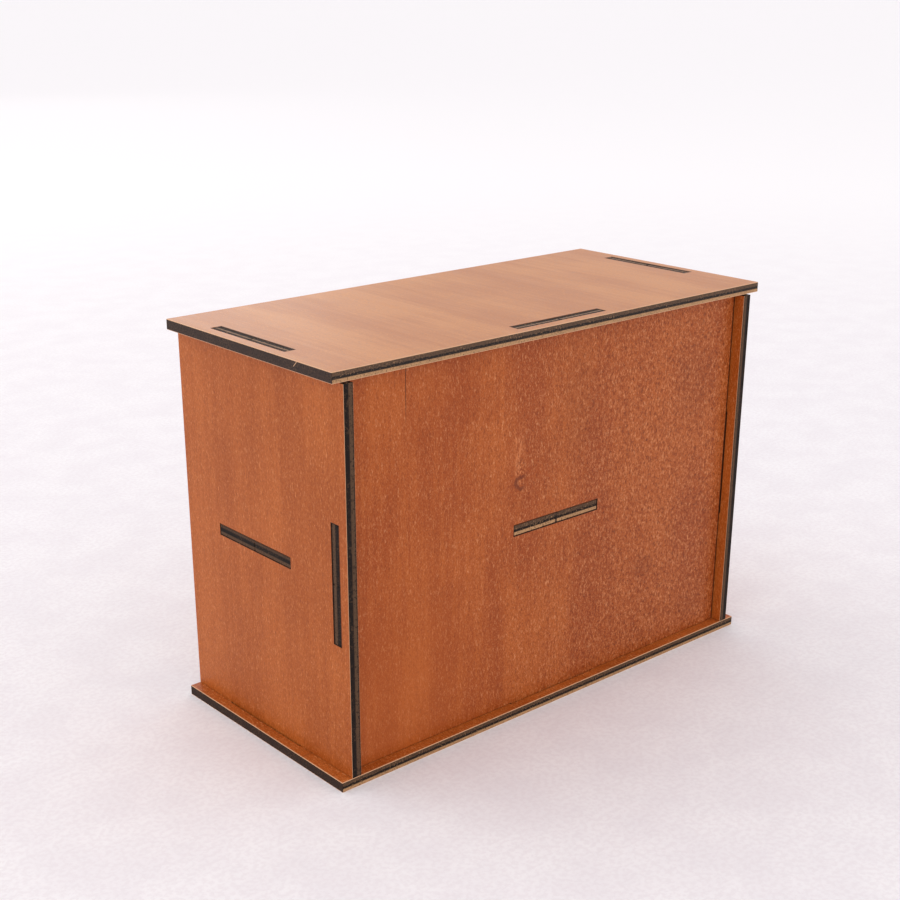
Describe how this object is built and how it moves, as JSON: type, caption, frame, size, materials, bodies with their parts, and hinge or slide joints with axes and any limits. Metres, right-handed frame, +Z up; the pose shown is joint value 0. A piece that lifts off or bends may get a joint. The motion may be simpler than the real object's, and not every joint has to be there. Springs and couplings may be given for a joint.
{
  "type": "book drop box",
  "caption": "Desk-top plywood book drop box: a hanging flap behind a front mouth, a shelf with a fall-through opening, and a catch drawer below.",
  "frame": {"origin": "centre of the bottom panel's underside, on the surface the box stands on", "axes": "+X along the box, to the right seen from the front; -Y out of the front; +Z up"},
  "size_m": [0.163, 0.086, 0.115],
  "materials": {
    "stained_plywood": "satin teak-brown stain, laser-charred edges",
    "inner_plywood": "matt teak-brown stain, laser-charred edges",
    "drawer_plywood": "matt teak-brown stain, laser-charred edges",
    "turned_wood": "turned and waxed",
    "brass_wire": "drawn, slightly dulled",
    "zinc_screw": "zinc-plated"
  },
  "bodies": {
    "case": {"bottom_panel": "stained_plywood", "top_panel": "stained_plywood", "left_side_panel": "stained_plywood", "right_side_panel": "stained_plywood", "back_panel": "stained_plywood", "middle_shelf": "inner_plywood", "drop_frame": "stained_plywood", "left_pivot_plate": "inner_plywood", "right_pivot_plate": "inner_plywood"},
    "flap": {"flap_panel": "stained_plywood", "flap_left_pin": "brass_wire", "flap_right_pin": "brass_wire"},
    "drawer": {"drawer_front": "stained_plywood", "drawer_back": "drawer_plywood", "drawer_left_side": "drawer_plywood", "drawer_right_side": "drawer_plywood", "drawer_bottom": "drawer_plywood", "drawer_knob": "turned_wood", "drawer_knob_screw": "zinc_screw"}
  },
  "joints": [
    {"name": "flap_hinge", "type": "hinge", "parent": "case", "child": "flap", "pos_m": [0, -0.0326, 0.109], "axis": [1, 0, 0], "range_deg": [0, 85]},
    {"name": "drawer_slide", "type": "slide", "parent": "case", "child": "drawer", "axis": [0, -1, 0], "range_m": [0, 0.055]}
  ]
}
